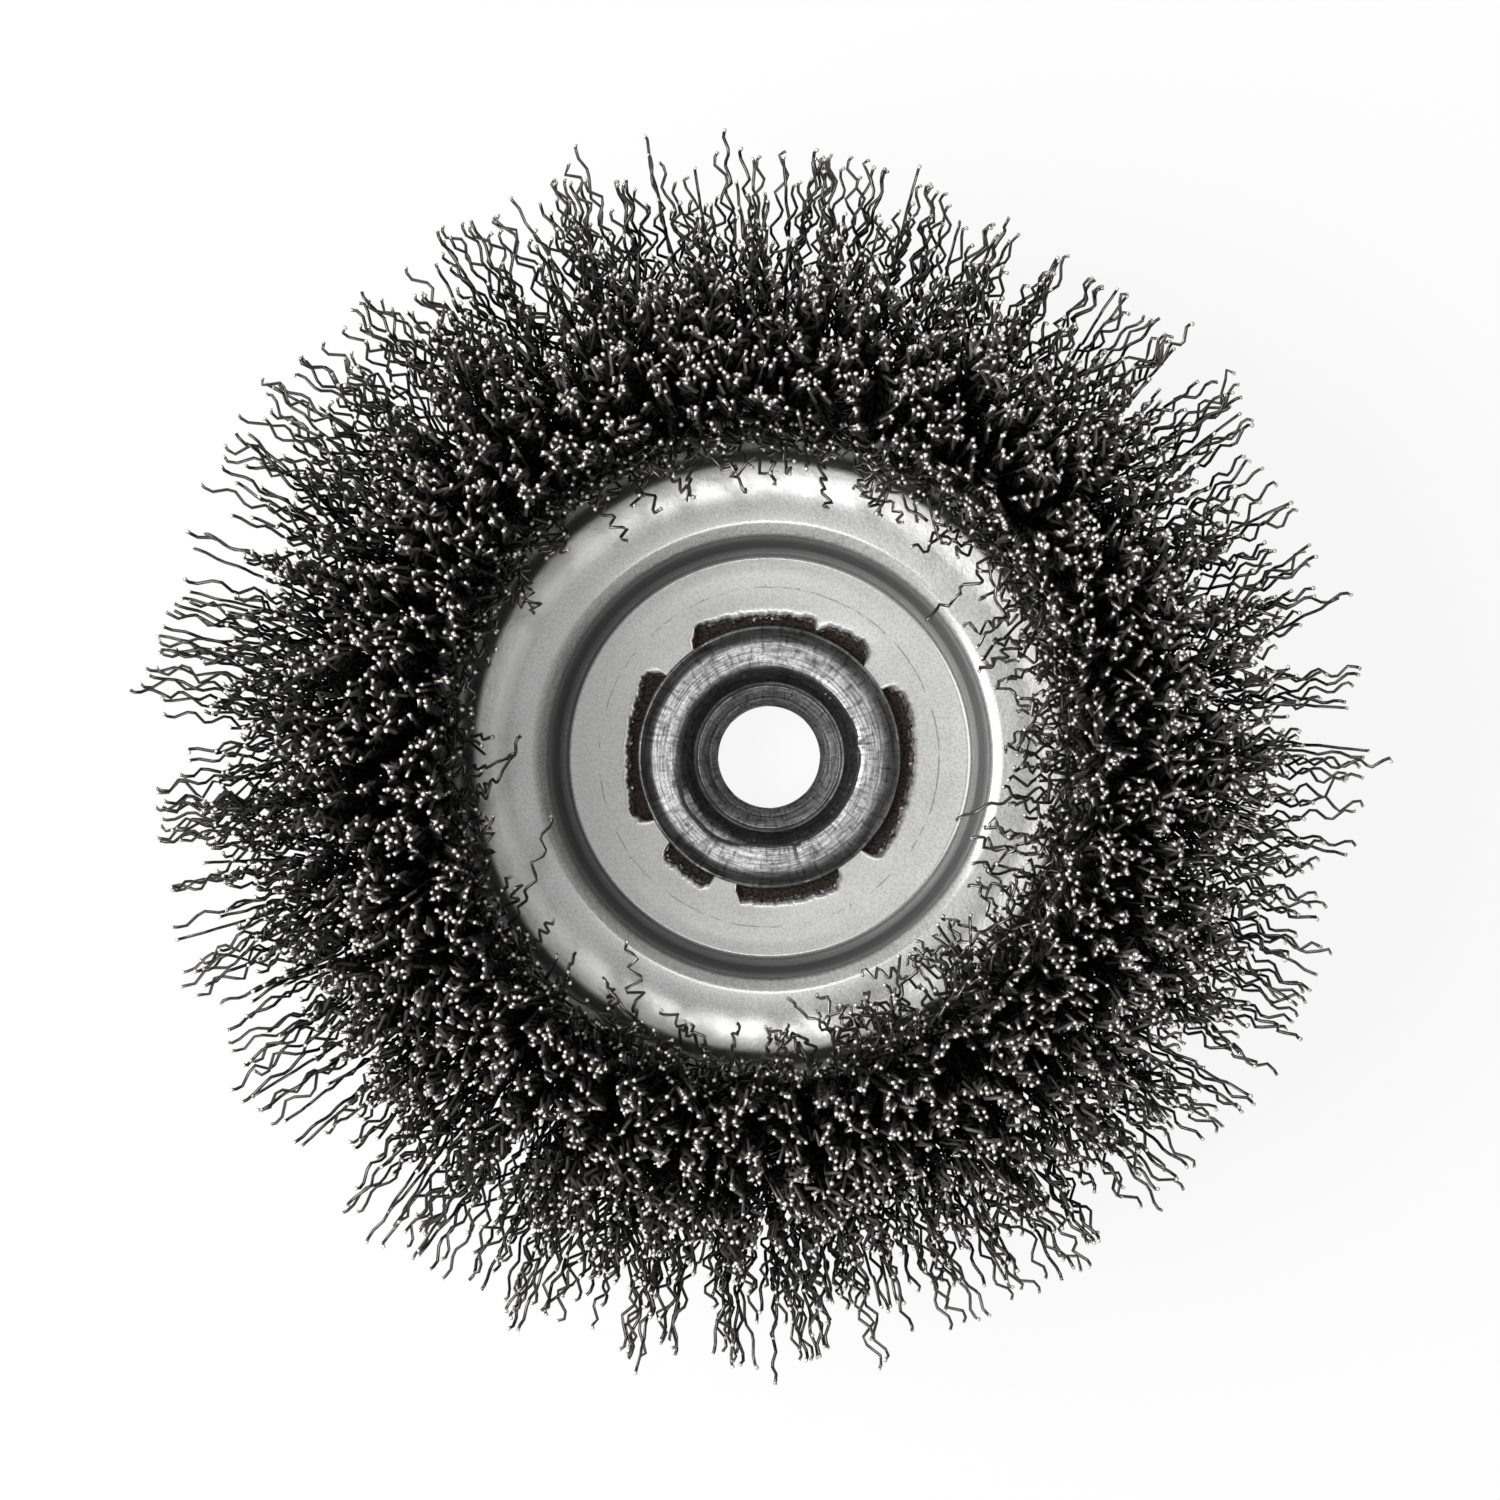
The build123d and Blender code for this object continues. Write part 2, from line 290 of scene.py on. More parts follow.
# Shared effect: fine grain and broad cloudiness of rolled or turned metal
metal_grain, given, out = new_effect(
    "metal_grain",
    [
        ("Place", "NodeSocketVector", (0, 0, 0)), ("Grain per mm", "NodeSocketFloat", 4.0),
        ("Clouds per mm", "NodeSocketFloat", 0.12),
    ],
    [("Grain", "NodeSocketFloat"), ("Clouds", "NodeSocketFloat")],
)
given = given.outputs
for socket, scale, detail in (
    ("Grain", given["Grain per mm"], 4.0), ("Clouds", given["Clouds per mm"], 3.0)
):
    terms = {"Vector": given["Place"], "Scale": scale, "Detail": detail, "Roughness": 0.6}
    noise = add_node(metal_grain, "ShaderNodeTexNoise", terms)
    metal_grain.links.new(noise.outputs["Fac"], out.inputs[socket])


def grained(tree, spot, grain_per_mm, clouds_per_mm):
    """The grain and the clouds of a metal, both between 0 and 1."""
    scales = {"Grain_per_mm": grain_per_mm, "Clouds_per_mm": clouds_per_mm}
    return use_effect(tree, metal_grain, Place=spot["Millimetres"], **scales).outputs


# Shared effect: streaks left by the tool, drawn out round the axis
turning_streaks, given, out = new_effect(
    "turning_streaks",
    [("Streaks per mm", "NodeSocketFloat", 3.0), ("Marks round", "NodeSocketFloat", 1.5)],
    [("Streaks", "NodeSocketFloat")],
)
given = given.outputs
spot = use_effect(turning_streaks, around_axis).outputs
across = worked_out(turning_streaks, "MULTIPLY", spot["Radius"], given["Streaks per mm"])
up = worked_out(turning_streaks, "MULTIPLY", spot["Height"], given["Streaks per mm"])
unrolled = {
    "X": worked_out(turning_streaks, "COSINE", spot["Direction"]),
    "Y": worked_out(turning_streaks, "SINE", spot["Direction"]),
    "Z": worked_out(turning_streaks, "ADD", across, up),
}
drawn = add_node(turning_streaks, "ShaderNodeCombineXYZ", unrolled)
stretch = {"X": given["Marks round"], "Y": given["Marks round"], "Z": 1.0}
stretched = add_node(turning_streaks, "ShaderNodeCombineXYZ", stretch)
terms = {0: drawn.outputs[0], 1: stretched.outputs[0]}
laid = add_node(turning_streaks, "ShaderNodeVectorMath", terms, operation="MULTIPLY")
terms = {"Vector": laid.outputs[0], "Scale": 1.0, "Detail": 3.0, "Roughness": 0.55}
noise = add_node(turning_streaks, "ShaderNodeTexNoise", terms)
turning_streaks.links.new(noise.outputs["Fac"], out.inputs["Streaks"])

hub_finish, tree, shader = new_finish("turned_hub_steel", Metallic=0.85)
spot = use_effect(tree, around_axis).outputs
grain = grained(tree, spot, 2.6, 0.3)
streaks = use_effect(tree, turning_streaks, Streaks_per_mm=4.0, Marks_round=3.0).outputs["Streaks"]
# Tones by radius, from the bore out over the seam and the bright crest; a stop at 1 is 20 mm
tone = ramp(
    tree,
    worked_out(tree, "DIVIDE", spot["Radius"], 20.0),
    [
        (0.0, 0.5), (0.375, 0.5), (0.385, 0.9), (0.4, 0.11), (0.43, 0.07), (0.45, 0.12),
        (0.46, 0.06), (0.475, 0.45), (0.485, 0.08), (0.535, 0.12), (0.575, 0.2), (0.59, 0.42),
        (0.61, 0.52), (0.63, 0.38), (0.66, 0.4), (0.7, 0.33), (0.74, 0.4), (0.765, 0.6),
        (0.78, 0.75), (0.79, 0.34), (0.85, 0.3), (0.857, 0.7),
    ],
)
below_cup = worked_out(tree, "LESS_THAN", spot["Height"], 14.6)
outside_bore = worked_out(tree, "GREATER_THAN", spot["Radius"], 11.0)
on_hexagon = worked_out(tree, "MULTIPLY", below_cup, outside_bore)
tone = blended(tree, "MIX", on_hexagon, tone, (0.5, 0.5, 0.49))
scores = use_effect(tree, turning_streaks, Streaks_per_mm=0.7, Marks_round=26.0).outputs["Streaks"]
tone = shaded_by(
    tree,
    tone,
    ramp(tree, streaks, [(0.4, 0.42), (0.58, 1.0)]),
    ramp(tree, grain["Grain"], [(0.4, 0.68), (0.56, 1.0)]),
    ramp(tree, grain["Clouds"], [(0.35, 0.7), (0.6, 1.0)]),
    ramp(tree, scores, [(0.34, 0.45), (0.5, 1.0)]),
)
relief = worked_out(tree, "ADD", streaks, grain["Grain"])
feed(
    tree,
    shader,
    Base_Color=tone,
    Roughness=scaled_to(tree, scores, 0.5, 0.3),
    Normal=raised_by(tree, relief, 0.35, 0.00006),
)
hub.data.materials.append(hub_finish)
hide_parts("hub_nut")
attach(hub, "root")


# Outer cup: one steel stamping clamped on the hexagon, with a satin zinc coat. Its wall leans in
# at the rim to grip the wires. From the working face only its floor shows, in the notches of the
# inner plate, stained with rust and painted near black as shade.

def refinish(node_name, finish):
    """Gives a CAD piece that is kept as it is a new finish."""
    materials = nodes[node_name].data.materials
    materials.clear()
    materials.append(finish)


cup_finish, tree, shader = new_finish("zinc_coated_cup_sheet", Metallic=0.9)
spot = use_effect(tree, around_axis).outputs
grain = grained(tree, spot, 3.0, 0.08)
streaks = use_effect(tree, turning_streaks, Streaks_per_mm=1.5, Marks_round=2.0).outputs["Streaks"]
zinc = ramp(tree, grain["Clouds"], [(0.3, 0.36), (0.7, 0.52)])
zinc = shaded_by(tree, zinc, ramp(tree, streaks, [(0.3, 0.75), (0.6, 1.0)]))
# Rust stain and painted shade: the floor near the hub, under the plate, is painted near black with a
# rust tint
near_hub = worked_out(tree, "LESS_THAN", spot["Radius"], 22.0)
on_floor = worked_out(tree, "GREATER_THAN", spot["Height"], 15.5)
stain_and_shade = worked_out(tree, "MULTIPLY", near_hub, on_floor)
rust_and_shade_stops = [(0.35, (0.012, 0.009, 0.008)), (0.5, (0.05, 0.038, 0.035)), (0.65, (0.11, 0.085, 0.078))]
satin = scaled_to(tree, grain["Clouds"], 0.38, 0.55)
feed(
    tree,
    shader,
    Base_Color=blended(tree, "MIX", stain_and_shade, zinc, ramp(tree, grain["Grain"], rust_and_shade_stops)),
    Roughness=blended(tree, "MIX", stain_and_shade, satin, (0.85, 0.85, 0.85)),
    Normal=raised_by(tree, grain["Grain"], 0.3, 0.00008),
)
refinish("outer_cup", cup_finish)


# Anchor ring: one closed ring of heavy drawn wire inside the cup. Every bristle is folded
# round it. It stays hidden behind the bristles.

ring_finish, tree, shader = new_finish("drawn_ring_wire", Metallic=0.9)
spot = use_effect(tree, around_axis).outputs
grain = grained(tree, spot, 3.0, 0.5)
feed(
    tree,
    shader,
    Base_Color=ramp(tree, grain["Clouds"], [(0.3, 0.16), (0.7, 0.3)]),
    Roughness=scaled_to(tree, grain["Clouds"], 0.35, 0.55),
    Normal=raised_by(tree, grain["Grain"], 0.3, 0.00005),
)
refinish("anchor_ring", ring_finish)


# Bristles: about five thousand legs of hard drawn steel wire, each crimped to a zigzag and
# folded round the anchor ring. They leave the slot between plate and cup in little bunches
# that spread outward; their cut ends stay bright.

mouth = 36.0
slot_inner, slot_middle, slot_outer = 41.7, 44.0, 47.0
wire_radius = 0.25
burr_radius, burr_dome, burr_collar = 0.28, 0.09, 0.3
crimp_swing = 0.6
# Bends of a wire: the share that stays hidden, how many sharp ones and how many rounded ones
leg_bends, short_bends, bent_in_bends = (0.4, 6, 5), (0, 2, 4), (0, 3, 9)
leg_restless, short_restless = 0.2, 0.35
hairpin_share = 0.45
sectors = 16
sector_angle = 360 / sectors
wires_per_sector = 290
fringe_per_sector = 70
bunches_per_sector = 38


def crimp_bends(hidden, sharp, rounded):
    """Where a wire's rings stand, as shares of its length, and on which side of its line: a plain
    part that the others hide, then sharp bends of one ring, then rounded ones of two."""
    shares = list(np.linspace(0, hidden, 4)) if hidden else [0.0]
    sides = [0.6, -1.0, 1.0, -1.0] if hidden else [0.6]
    pitch = (1 - hidden) / (sharp + rounded + 0.4)
    for bend in range(1, sharp + rounded + 1):
        at = hidden + bend * pitch
        bent_at = [at] if bend <= sharp else [at - 0.2 * pitch, at + 0.2 * pitch]
        shares += bent_at
        sides += [-np.sign(sides[-1]) * 0.92] * len(bent_at)
    return np.array(shares + [1.0]), np.array(sides + [sides[-1] * 0.3])


def unit(vectors):
    """Vectors scaled to length 1."""
    return vectors / np.linalg.norm(vectors, axis=-1, keepdims=True)


def square_to(vectors, directions):
    """The part of each vector that is square to a direction, scaled to length 1."""
    return unit(vectors - directions * (vectors * directions).sum(-1, keepdims=True))


def wire_tubes(roots, knees, tips, facing, swing, bends, restless, chance):
    """Crimped tubes with three sides: points by wire, ring and corner, and their end directions."""
    shares, sides = crimp_bends(*bends)
    count = len(roots)
    t = shares[None, :, None]
    line = (1 - t) ** 2 * roots[:, None] + 2 * t * (1 - t) * knees[:, None] + t**2 * tips[:, None]
    heading = unit(2 * (1 - t) * (knees - roots)[:, None] + 2 * t * (tips - knees)[:, None])
    first = square_to(unit(roots * [1, 1, 0])[:, None], heading)
    second = np.cross(heading, first)
    # The legs of a pair turn alike on their way up
    even_leg = np.arange(count) // 2 * 2 % count
    turned = facing[:, None] + chance.normal(0, 4 * restless, (count, 1))[even_leg] * shares[None, :]
    crimp = np.cos(turned)[..., None] * first + np.sin(turned)[..., None] * second
    uneven = 1 + chance.normal(0, 1.5 * restless, (count, len(shares)))
    centres = line + crimp * (swing[:, None] * sides[None, :] * uneven)[..., None]
    run = np.empty_like(centres)
    run[:, 1:-1] = centres[:, 2:] - centres[:, :-2]
    run[:, 0] = centres[:, 1] - centres[:, 0]
    run[:, -1] = centres[:, -1] - centres[:, -2]
    run = unit(run)
    normal = square_to(np.cross(heading, crimp), run)
    beside = np.cross(run, normal)
    points = np.empty((count, len(shares), 3, 3))
    for side in range(3):
        turn = 2 * math.pi * side / 3
        points[:, :, side] = centres + wire_radius * (math.cos(turn) * normal + math.sin(turn) * beside)
    return points, centres[:, -1], run[:, -1]


def tube_faces(count, rings):
    """Quads along each three-sided tube, and the two triangles that close its ends."""
    base = (np.arange(count) * rings * 3)[:, None, None]
    ring = base + (np.arange(rings - 1) * 3)[None, :, None]
    side = np.arange(3)[None, None, :]
    beside = (side + 1) % 3
    quads = np.stack([ring + side, ring + beside, ring + 3 + beside, ring + 3 + side], axis=-1)
    start = base[:, 0, 0]
    end = start + (rings - 1) * 3
    first_cap = np.stack([start + 2, start + 1, start], 1)
    last_cap = np.stack([end, end + 1, end + 2], 1)
    return quads.reshape(-1, 4), np.concatenate([first_cap, last_cap])


def cut_ends(at, along, chance):
    """A small burr on each wire end: a low dome over a short collar, six-sided."""
    count = len(at)
    up = unit(along * 0.7 + np.array([0, 0, 0.8]))
    across = unit(np.cross(up, np.array([1.0, 0.2, 0.1])))
    beyond = np.cross(up, across)
    points = np.empty((count, 8, 3))
    size = burr_radius * chance.uniform(0.85, 1.15, (count, 1))
    for step in range(6):
        turn = math.pi * step / 3
        reach = size * chance.uniform(0.85, 1.15, (count, 1))
        points[:, step] = at + reach * (math.cos(turn) * across + math.sin(turn) * beyond)
    points[:, 6] = at + up * burr_dome
    points[:, 7] = at - up * burr_collar
    fan = []
    for step in range(6):
        beside = (step + 1) % 6
        fan += [(step, beside, 6), (beside, step, 7)]
    faces = (np.array(fan)[None] + (np.arange(count) * 8)[:, None, None]).reshape(-1, 3)
    return points.reshape(-1, 3), faces


# How far out the dense part of the ring reaches and how far in the wire tips come: direction in
# degrees and radius
dense_reach = (
    (-180, 69.0), (-120, 68.5), (-75, 67.2), (-50, 66.0), (-15, 64.8),
    (30, 64.2), (65, 65.2), (90, 68.0), (120, 69.0), (180, 69.0),
)
inner_reach = (
    (-180, 43.0), (-135, 43.5), (-90, 44.0), (-50, 42.0), (-20, 39.5),
    (20, 39.5), (50, 41.0), (90, 44.0), (135, 44.0), (180, 43.0),
)
# Long strays that stand out of the ring: direction in degrees, tip radius
outward_strays = (
    (-0.5, 78.4), (45.5, 76.0), (66.0, 74.0), (94.0, 79.4), (108.5, 79.0), (143.0, 80.0), (174.0, 81.6),
    (-168.0, 77.0), (-143.0, 76.0), (-102.0, 79.6), (-89.5, 79.2), (-58.0, 75.5), (-28.0, 75.5),
)
# Wires bent in over the plate: where they leave the ring and where they end, X and Y
inward_strays = (
    (-9.6, 37.5, -10.6, 32.5), (0.6, 39.5, 0.5, 35.0), (6.2, 36.5, 7.6, 31.5),
    (10.5, 34.0, 14.5, 31.0), (13.5, 34.5, 17.2, 30.0), (19.5, 33.0, 22.0, 27.0),
    (-22.5, 33.5, -18.0, 27.5), (-13.8, 36.5, -9.5, 33.0), (28.0, 24.0, 20.0, 17.5),
    (31.5, 14.5, 26.8, 10.8), (35.5, 5.5, 30.0, 0.5), (35.0, -3.0, 23.8, -8.0),
    (33.5, -8.5, 28.0, -14.5), (31.5, -18.5, 25.2, -23.5), (23.5, -21.5, 17.5, -26.5),
    (17.5, -25.5, 12.0, -28.0), (13.8, -32.0, 9.8, -34.0), (5.0, -33.0, 1.0, -36.5),
    (-7.5, -36.5, -13.5, -32.0), (-16.0, -33.0, -18.0, -23.5), (-19.0, -32.5, -20.5, -29.5),
    (-30.8, -20.5, -28.0, -7.5), (-29.8, -24.5, -27.5, -20.5), (-35.5, -6.0, -31.5, 2.5),
    (-37.0, -2.0, -32.0, 0.5), (38.5, 8.0, 31.5, 6.0), (37.5, 12.5, 30.0, 9.5),
    (38.0, -12.0, 30.5, -10.0), (36.0, -16.0, 29.0, -13.5), (39.0, 2.0, 32.5, 3.5),
)
# How strongly the inner fringe leans in, and how many more wires are bent in: the right and the
# lower right of the ring are the most worn
lean_in = ((0, 48, 1.0), (-58, 20, 0.5), (0, 16, -0.2))
bent_in = (
    (3, 42, 13), (64, 12, 6), (-57, 18, 30), (-88, 12, 9), (-115, 12, 4), (128, 9, 2), (-160, 12, 3),
)


def by_direction(known, direction):
    """A value read from a table of directions in degrees."""
    return np.interp(signed_turn(direction), *zip(*known))


def on_circle(radius, direction, height):
    """Points from radii, directions in degrees and heights."""
    turn = np.radians(direction)
    return np.stack([radius * np.cos(turn), radius * np.sin(turn), height + 0 * turn], axis=-1)


def full_legs(middle, chance):
    """Roots, knees, tips and crimp directions of a sector's full-length wires."""
    count = wires_per_sector
    # Roots fill the slot; each wire has a depth in the brush, from the inner side out
    across = (np.arange(count) + 0.5) / count
    golden_steps = (np.arange(count) * 0.6180339887) % 1
    root_turn = (golden_steps - 0.5) * (sector_angle - 0.6)
    depth = np.clip(across + chance.normal(0, 0.16, count), 0, 1)
    root_radius = slot_inner + (slot_outer - slot_inner) * np.sqrt(across)
    # The two legs of one hairpin stand side by side and keep the same shape
    number = np.arange(count)
    paired = chance.random(count // 2).repeat(2) < hairpin_share
    first_leg = np.where(paired, number // 2 * 2, number)
    leg = number - first_leg
    beside_by = leg * chance.choice([-1.0, 1.0], count)
    root_turn = root_turn[first_leg] + beside_by * 0.5
    root_turn = np.clip(root_turn, 0.3 - sector_angle / 2, sector_angle / 2 - 0.3)
    depth = depth[first_leg]
    # Tips by depth on an even ring, then drawn to where this ring begins and ends
    even_inner, even_edge = 43.5, 66.0
    depth_stops = [0, 0.12, 0.38, 0.62, 0.86, 0.96, 1.0]
    spread = np.interp(depth, depth_stops, [even_inner, 47.0, 53.5, 60.0, 66.3, 70.3, 75.0])
    edge = by_direction(dense_reach, middle + root_turn)
    inner = by_direction(inner_reach, middle + root_turn)
    tip_radius = inner + (spread - even_inner) * (edge - inner) / (even_edge - even_inner)
    tip_radius += chance.normal(0, 1.1, count)
    tip_radius = tip_radius[first_leg] + leg * chance.normal(0, 0.8, count)
    tip_turn = root_turn + chance.normal(0, 3.5, count)[first_leg]
    tip_turn += beside_by * chance.uniform(0.3, 1.1, count)
    # Tips are drawn to the middle of the nearest bunch, less so at the outside
    bunch_radius = chance.uniform(39, 70, bunches_per_sector)
    bunch_turn = chance.uniform(-0.5, 0.5, bunches_per_sector) * sector_angle
    gap_out = tip_radius[:, None] - bunch_radius[None]
    gap_round = np.radians(tip_turn[:, None] - bunch_turn[None]) * tip_radius[:, None]
    nearest = (gap_out**2 + gap_round**2).argmin(1)
    pull = (chance.uniform(0.0, 0.45, count) * np.interp(tip_radius, [56, 68], [1.0, 0.5]))[first_leg]
    tip_radius += (bunch_radius[nearest] - tip_radius) * pull
    tip_turn += (bunch_turn[nearest] - tip_turn) * pull
    any_way = np.interp(tip_radius, [46, 64], [1.5, 0.8])
    facing = math.pi / 2 + (chance.normal(0, 1, count) * any_way)[first_leg]
    length = chance.uniform(30.8, 33.0, count)
    rise = np.sqrt(np.maximum(length**2 - (tip_radius - root_radius) ** 2, 150))
    buried = chance.uniform(0.6, 3.6, count)
    roots = on_circle(root_radius, middle + root_turn, mouth - buried)
    tips = on_circle(tip_radius, middle + tip_turn, mouth + rise)
    bow = chance.uniform(0.2, 0.6, count)[:, None]
    straight = roots * 0.62 + tips * 0.38
    upright = roots + np.array([0, 0, 13.0])
    knees = straight * (1 - bow) + upright * bow + chance.normal(0, 0.8, (count, 3))

    strays = []
    stray_root, stray_length = 46.4, 37.5
    for direction, radius in outward_strays:
        turn = signed_turn(direction, middle)
        if -sector_angle / 2 <= turn < sector_angle / 2:
            turn = np.clip(turn, -10.3, 10.3)
            rise = math.sqrt(stray_length**2 - (radius - stray_root) ** 2)
            root = on_circle(stray_root, middle + turn, mouth - 1.5)
            tip = on_circle(radius, middle + turn, mouth + rise)
            strays.append((root, root * 0.5 + tip * 0.5 + [0, 0, 3.0], tip))
    if strays:
        legs = (roots, knees, tips)
        roots, knees, tips = (np.concatenate([a, np.array(b)]) for a, b in zip(legs, zip(*strays)))
        facing = np.concatenate([facing, math.pi / 2 + chance.normal(0, 0.35, len(strays))])
    return roots, knees, tips, facing


def short_and_bent(middle, chance):
    """Roots, knees and tips of a sector's short and broken wires, which fringe the inside of the
    ring, and of the longer ones bent in over the plate."""
    count = fringe_per_sector
    leaning = float(bumps_round(np.radians(middle), lean_in))
    more_bent = 1.5 + float(bumps_round(np.radians(middle), bent_in))
    turns = chance.uniform(-0.5, 0.5, count) * (sector_angle - 1)
    length = chance.uniform(3, 20, count)
    root_radius = chance.uniform(slot_inner, slot_inner + 2.0, count)
    lean = np.radians(chance.normal(-3 - 19 * leaning, 9 + 6 * leaning, count))
    roots = on_circle(root_radius, middle + turns, mouth - 2.0)
    tip_turns = middle + turns + chance.normal(0, 6, count)
    tips = on_circle(root_radius + length * np.sin(lean), tip_turns, mouth + length * np.cos(lean))
    bent = []
    for from_x, from_y, to_x, to_y in inward_strays:
        turn = signed_turn(math.degrees(math.atan2(from_y, from_x)), middle)
        if -sector_angle / 2 <= turn < sector_angle / 2:
            root = on_circle(42.0, middle + turn, mouth - 1.5)
            tip = np.array([to_x, to_y, mouth + 8.0 + chance.uniform(0, 9)])
            bent.append((root, np.array([from_x, from_y, mouth + 12.0]), tip))
    for _ in range(round(more_bent)):
        turn = chance.uniform(-0.5, 0.5) * (sector_angle - 2)
        inward = chance.uniform(1, 6 + 7 * leaning)
        tip_turn = middle + turn + chance.normal(0, 8)
        root = on_circle(42.0, middle + turn, mouth - 1.5)
        knee_turn = middle + turn + chance.normal(0, 3)
        knee = on_circle(41.5 - 0.4 * inward, knee_turn, mouth + chance.uniform(8, 16))
        bent.append((root, knee, on_circle(40.5 - inward, tip_turn, mouth + chance.uniform(5, 18))))
    knees = (roots + tips) / 2 + chance.normal(0, 1.2, (count, 3))
    return (roots, knees, tips), tuple(np.array(points) for points in zip(*bent))


# Half section of the block of folded roots in the slot, as radius and height
root_walls = (
    (41.6, 27.0), (41.6, 34.6), (42.6, 35.0), (44.0, 34.7), (45.4, 35.1), (46.9, 34.6), (46.9, 27.0),
)


def packed_roots(middle, chance):
    """The folded roots of a sector, packed into one block that fills the slot below the mouth."""
    rows, steps = len(root_walls), 25
    turns = np.linspace(-0.5, 0.5, steps) * (sector_angle - 0.5) + middle
    points = []
    for radius, height in root_walls:
        on_top = slot_inner < radius < 46
        uneven = 0.25 * chance.normal(size=steps) if on_top else 0 * turns
        points.append(on_circle(radius + 0 * turns, turns, height + uneven))
    row, step = np.meshgrid(np.arange(rows), np.arange(steps - 1), indexing="ij")
    low = row * steps + step
    high = (row + 1) % rows * steps + step
    quads = np.stack([low, low + 1, high + 1, high], axis=-1).reshape(-1, 4)
    near = np.arange(rows) * steps
    far = near + steps - 1
    ends = [[near[0], near[i], near[i + 1]] for i in range(1, rows - 1)]
    ends += [[far[0], far[i + 1], far[i]] for i in range(1, rows - 1)]
    return np.array(points).reshape(-1, 3), quads, np.array(ends)


bristle_finish, tree, shader = new_finish("drawn_bristle_steel", Metallic=0.75)
spot = use_effect(tree, around_axis).outputs
grain = grained(tree, spot, 2.5, 0.35)
wire_stops = [(0.3, (0.24, 0.236, 0.228)), (0.5, (0.42, 0.41, 0.392)), (0.7, (0.72, 0.69, 0.64))]
tone = ramp(tree, grain["Clouds"], wire_stops)
# Painted shade down in the brush, and painted light towards the working ends and on the innermost
# wires; darker at the outside
in_section = add_node(tree, "ShaderNodeCombineXYZ", {"X": spot["Radius"], "Y": spot["Height"]})
terms = {0: in_section.outputs[0], 1: (slot_middle, mouth, 0.0)}
from_mouth = add_node(tree, "ShaderNodeVectorMath", terms, operation="DISTANCE")
along = worked_out(tree, "DIVIDE", from_mouth.outputs["Value"], 36.0)
painted_light = ramp(tree, along, [(0.0, 0.15), (0.5, 0.04), (0.72, 0.1), (0.8, 0.38), (0.86, 1.0)])
outward = worked_out(tree, "DIVIDE", spot["Radius"], 100.0)
innermost = ramp(tree, outward, [(0.41, 0.4), (0.44, 0.0)])
painted_light = blended(tree, "LIGHTEN", 1.0, painted_light, innermost)
tone = shaded_by(tree, tone, painted_light, ramp(tree, outward, [(0.53, 1.0), (0.66, 0.2)]))
# A few rust specks
terms = {"Vector": spot["Millimetres"], "Scale": 0.9, "Detail": 2.0}
specks = add_node(tree, "ShaderNodeTexNoise", terms)
rusty = ramp(tree, specks.outputs["Fac"], [(0.74, 0.0), (0.78, 1.0)])
feed(
    tree,
    shader,
    Base_Color=blended(tree, "MIX", rusty, tone, (0.16, 0.045, 0.02)),
    Roughness=scaled_to(tree, grain["Grain"], 0.2, 0.42),
    Normal=raised_by(tree, grain["Grain"], 0.2, 0.00003),
)

end_finish, tree, shader = new_finish("bright_cut_ends", Metallic=0.3, Roughness=0.4)
spot = use_effect(tree, around_axis).outputs
grain = grained(tree, spot, 1.7, 0.5)
end_stops = [(0.3, (0.35, 0.33, 0.3)), (0.42, (0.8, 0.77, 0.71)), (0.55, (0.98, 0.96, 0.92))]
feed(tree, shader, Base_Color=ramp(tree, grain["Grain"], end_stops))

for sector in range(sectors):
    chance = np.random.default_rng(100 + sector)
    middle = sector * sector_angle
    *legs, facing = full_legs(middle, chance)
    swing = crimp_swing * chance.uniform(0.7, 1.35, len(facing))
    lots = [wire_tubes(*legs, facing, swing, leg_bends, leg_restless, chance)]
    for lot, bends in zip(short_and_bent(middle, chance), (short_bends, bent_in_bends)):
        facing = chance.uniform(0, math.pi, len(lot[0]))
        swing = crimp_swing * chance.uniform(0.7, 1.3, len(lot[0]))
        lots.append(wire_tubes(*lot, facing, swing, bends, short_restless, chance))
    points, quads, triangles = [], [], []
    start = 0
    for tubes, _, _ in lots:
        tube_quads, caps = tube_faces(*tubes.shape[:2])
        points.append(tubes.reshape(-1, 3))
        quads.append(tube_quads + start)
        triangles.append(caps + start)
        start += len(points[-1])
    ends, along = (np.concatenate([lot[index] for lot in lots]) for index in (1, 2))
    burrs, burr_faces = cut_ends(ends, along, chance)
    block, block_quads, block_ends = packed_roots(middle, chance)
    points = np.concatenate([*points, burrs, block])
    quads = np.concatenate([*quads, block_quads + start + len(burrs)])
    triangles = np.concatenate([*triangles, block_ends + start + len(burrs), burr_faces + start])
    wires = add_mesh(f"crimped_wires_{sector + 1:02d}", points, quads, triangles)
    finish_of_face = np.zeros(len(quads) + len(triangles), np.int32)
    finish_of_face[-len(burr_faces):] = 1
    wires.data.materials.append(bristle_finish)
    wires.data.materials.append(end_finish)
    wires.data.polygons.foreach_set("material_index", finish_of_face)
    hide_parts(f"wires_{sector + 1:02d}")
    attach(wires, "root")


# Inner plate: one stamping in satin zinc-coated sheet. A flat well holds the hub, a steep wall
# rises to the bead, and a lip at the foot of its outer wall grips the wires. The hole was torn
# out to six notches, whose ragged edges show dark beside the rolled ring.

